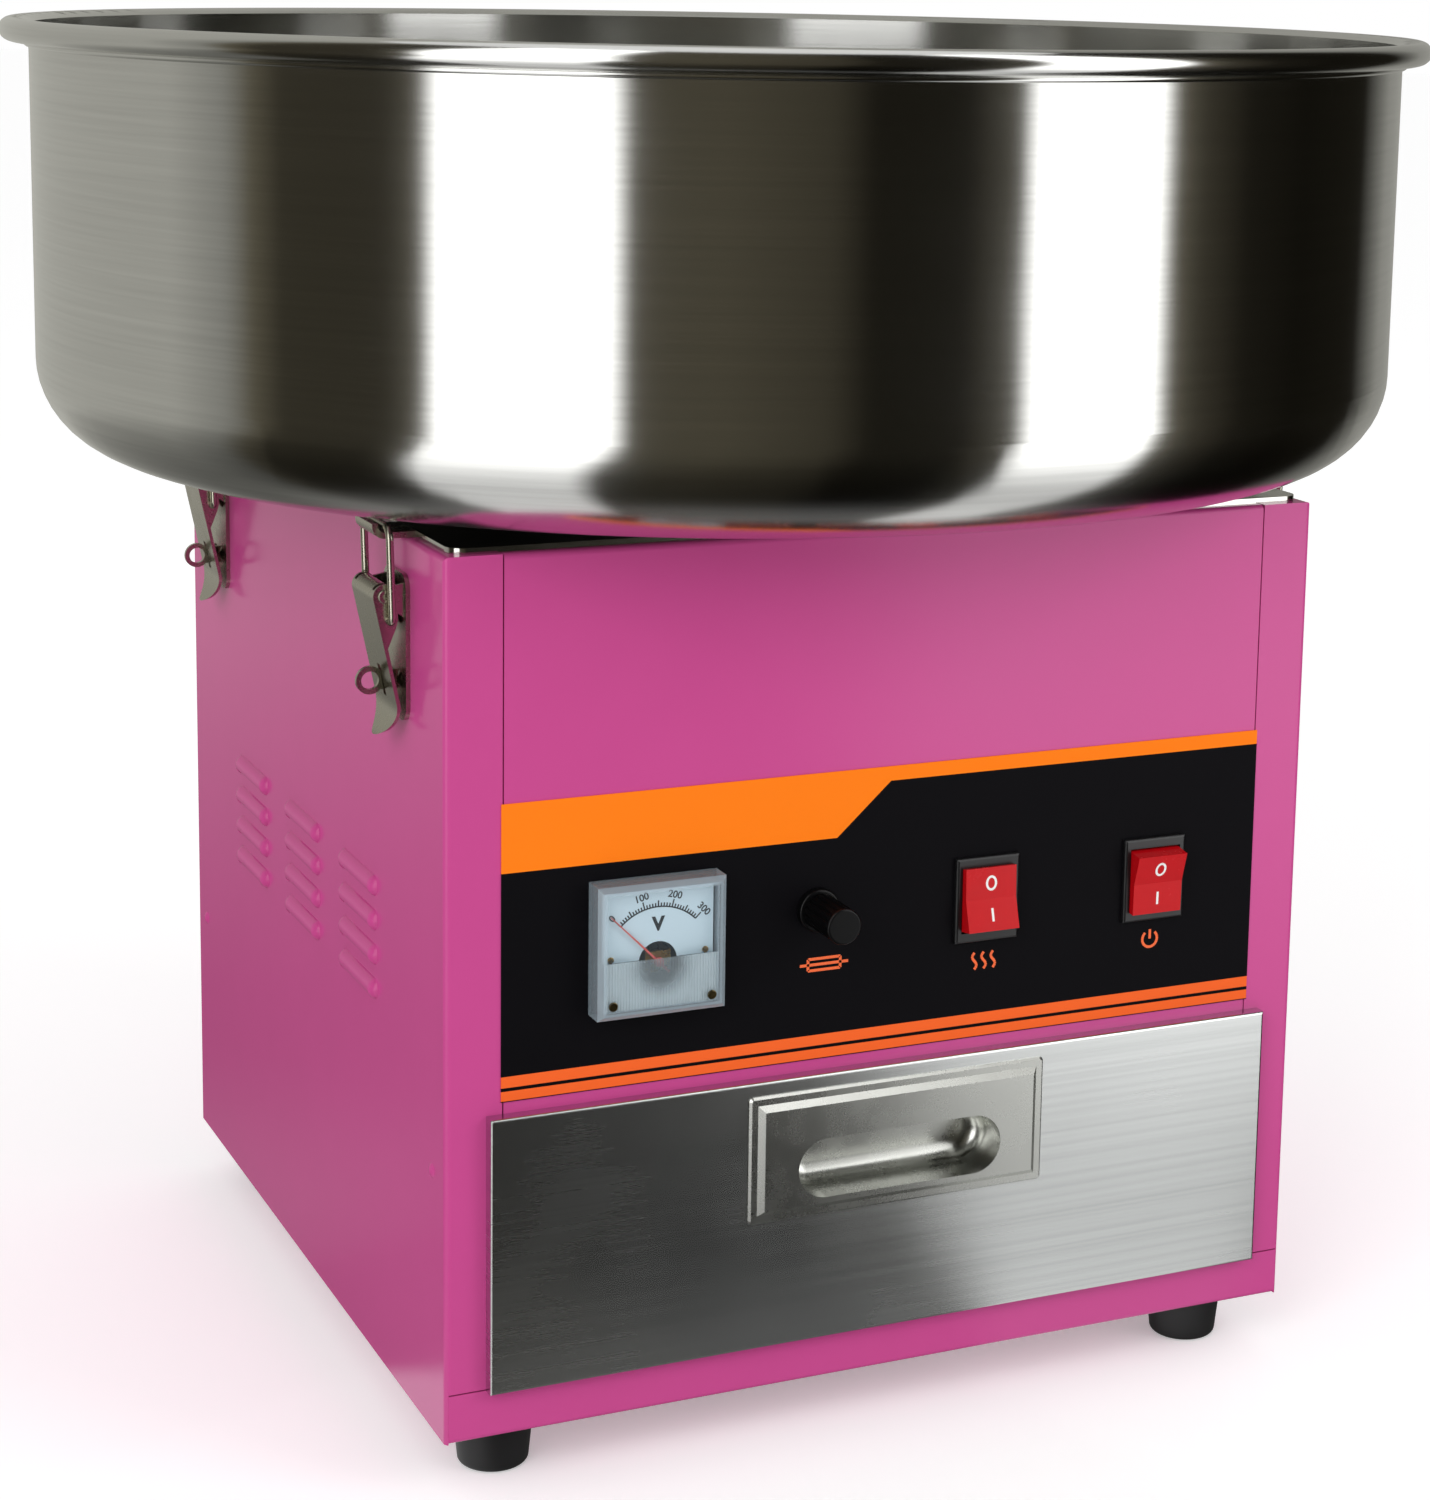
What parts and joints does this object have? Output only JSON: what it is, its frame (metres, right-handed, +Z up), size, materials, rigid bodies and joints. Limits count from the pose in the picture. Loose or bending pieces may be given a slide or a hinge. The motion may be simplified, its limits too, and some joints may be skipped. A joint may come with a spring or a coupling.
{
  "type": "electric candy floss machine",
  "caption": "Electric table-top candy floss machine: sheet-steel cabinet with a drawer and control panel under a wide stainless bowl held by toggle latches.",
  "frame": {"origin": "centre of the object's footprint, on the surface that its feet stand on, under the bowl's axis", "axes": "+Z up, the front with the drawer and controls faces -Y, +X to the right seen from the front"},
  "size_m": [0.52, 0.5198, 0.4792],
  "materials": {
    "pink_paint": "glossy pink powder coat on sheet steel",
    "stainless": "stainless steel with a fine brushed grain",
    "galvanised": "plain galvanised sheet steel",
    "plated_steel": "bright nickel plated pressed steel",
    "steel_shaft": "ground steel bar",
    "rubber": "black moulded rubber",
    "printed_film": "black film printed with orange stripes",
    "black_plastic": "black moulded plastic",
    "clear_plastic": "clear polished plastic",
    "dial_card": "pale blue printed card",
    "red_plastic": "translucent red plastic",
    "red_needle": "thin red painted pointer",
    "brass": "plain brass",
    "fuse_glass": "clear glass tube with nickel caps",
    "cast_aluminium": "cast and turned aluminium",
    "rotor_steel": "stacked silicon steel with a cast cage",
    "carbon": "pressed carbon",
    "element": "oxidised sheath of a tubular heater",
    "ceramic": "white fired ceramic",
    "cream_plastic": "cream moulded plastic"
  },
  "bodies": {
    "cabinet": {"base_tray": "pink_paint", "bowl": "stainless", "bowl_gasket": "rubber", "bowl_hooks": "plated_steel", "bowl_screws": "plated_steel", "brush_holder": "black_plastic", "carbon_brushes": "carbon", "control_plate": "printed_film", "drawer_runners": "galvanised", "foot_screws": "plated_steel", "front_panel": "pink_paint", "fuse_holder": "black_plastic", "heat_switch_body": "black_plastic", "latch_bases": "plated_steel", "latch_pins": "plated_steel", "latch_rivets": "plated_steel", "left_side_panel": "pink_paint", "meter_body": "black_plastic", "meter_cover": "clear_plastic", "meter_dial": "dial_card", "meter_movement": "brass", "motor_body": "cast_aluminium", "motor_bushes": "rubber", "motor_plate": "galvanised", "motor_stator": "rotor_steel", "motor_studs": "galvanised", "power_inlet": "black_plastic", "power_switch_body": "black_plastic", "rear_panel": "pink_paint", "right_side_panel": "pink_paint", "rubber_feet": "rubber", "seat_plate": "stainless", "side_rivets": "pink_paint", "terminal_block": "cream_plastic", "top_deck": "pink_paint"},
    "spinner": {"drive_shaft": "steel_shaft", "motor_rotor": "rotor_steel", "slip_ring_hub": "black_plastic", "slip_rings": "brass", "spinner_base": "cast_aluminium", "heating_element": "element", "element_supports": "ceramic", "spinner_band": "stainless", "spinner_cap": "cast_aluminium"},
    "drawer": {"drawer_front": "stainless", "drawer_box": "galvanised", "drawer_pull": "stainless"},
    "heat_rocker": {"heat_rocker": "red_plastic"},
    "power_rocker": {"power_rocker": "red_plastic"},
    "needle": {"meter_needle": "red_needle"},
    "fuse_cap": {"fuse_cap": "black_plastic", "fuse_link": "fuse_glass"},
    "lever_front_left": {"latch_lever_front_left": "plated_steel"},
    "bail_front_left": {"latch_bail_front_left": "plated_steel"},
    "lever_rear_left": {"latch_lever_rear_left": "plated_steel"},
    "bail_rear_left": {"latch_bail_rear_left": "plated_steel"},
    "lever_front_right": {"latch_lever_front_right": "plated_steel"},
    "bail_front_right": {"latch_bail_front_right": "plated_steel"},
    "lever_rear_right": {"latch_lever_rear_right": "plated_steel"},
    "bail_rear_right": {"latch_bail_rear_right": "plated_steel"}
  },
  "joints": [
    {"name": "spinner_turn", "type": "hinge", "parent": "cabinet", "child": "spinner", "pos_m": [0, 0, 0.2531], "axis": [0, 0, 1], "continuous": true},
    {"name": "drawer_slide", "type": "slide", "parent": "cabinet", "child": "drawer", "axis": [0, -1, 0], "range_m": [0, 0.2]},
    {"name": "heat_rocker_tilt", "type": "hinge", "parent": "cabinet", "child": "heat_rocker", "pos_m": [0.034, -0.1629, 0.186], "axis": [1, 0, 0], "range_deg": [0, 18]},
    {"name": "power_rocker_tilt", "type": "hinge", "parent": "cabinet", "child": "power_rocker", "pos_m": [0.1005, -0.1629, 0.186], "axis": [-1, 0, 0], "range_deg": [0, 18]},
    {"name": "needle_turn", "type": "hinge", "parent": "cabinet", "child": "needle", "pos_m": [-0.0895, -0.1634, 0.1792], "axis": [0, 1, 0], "range_deg": [0, 90], "stiffness_Nm_per_rad": 0.00002},
    {"name": "fuse_cap_draw", "type": "slide", "parent": "cabinet", "child": "fuse_cap", "axis": [0, -1, 0], "range_m": [0, 0.03]},
    {"name": "lever_turn_front_left", "type": "hinge", "parent": "cabinet", "child": "lever_front_left", "pos_m": [-0.1695, -0.116, 0.299], "axis": [0, 1, 0], "range_deg": [0, 70]},
    {"name": "bail_turn_front_left", "type": "hinge", "parent": "lever_front_left", "child": "bail_front_left", "pos_m": [-0.16768, -0.116, 0.29059], "axis": [0, 1, 0], "range_deg": [-56, 0]},
    {"name": "lever_turn_rear_left", "type": "hinge", "parent": "cabinet", "child": "lever_rear_left", "pos_m": [-0.1695, 0.116, 0.299], "axis": [0, 1, 0], "range_deg": [0, 70]},
    {"name": "bail_turn_rear_left", "type": "hinge", "parent": "lever_rear_left", "child": "bail_rear_left", "pos_m": [-0.16768, 0.116, 0.29059], "axis": [0, 1, 0], "range_deg": [-56, 0]},
    {"name": "lever_turn_front_right", "type": "hinge", "parent": "cabinet", "child": "lever_front_right", "pos_m": [0.1695, -0.116, 0.299], "axis": [0, -1, 0], "range_deg": [0, 70]},
    {"name": "bail_turn_front_right", "type": "hinge", "parent": "lever_front_right", "child": "bail_front_right", "pos_m": [0.16768, -0.116, 0.29059], "axis": [0, -1, 0], "range_deg": [-56, 0]},
    {"name": "lever_turn_rear_right", "type": "hinge", "parent": "cabinet", "child": "lever_rear_right", "pos_m": [0.1695, 0.116, 0.299], "axis": [0, -1, 0], "range_deg": [0, 70]},
    {"name": "bail_turn_rear_right", "type": "hinge", "parent": "lever_rear_right", "child": "bail_rear_right", "pos_m": [0.16768, 0.116, 0.29059], "axis": [0, -1, 0], "range_deg": [-56, 0]}
  ],
  "couplings": [
    {"joint": "bail_turn_front_left", "follows": "lever_turn_front_left", "ratio": -0.75},
    {"joint": "bail_turn_rear_left", "follows": "lever_turn_rear_left", "ratio": -0.75},
    {"joint": "bail_turn_front_right", "follows": "lever_turn_front_right", "ratio": -0.75},
    {"joint": "bail_turn_rear_right", "follows": "lever_turn_rear_right", "ratio": -0.75}
  ]
}
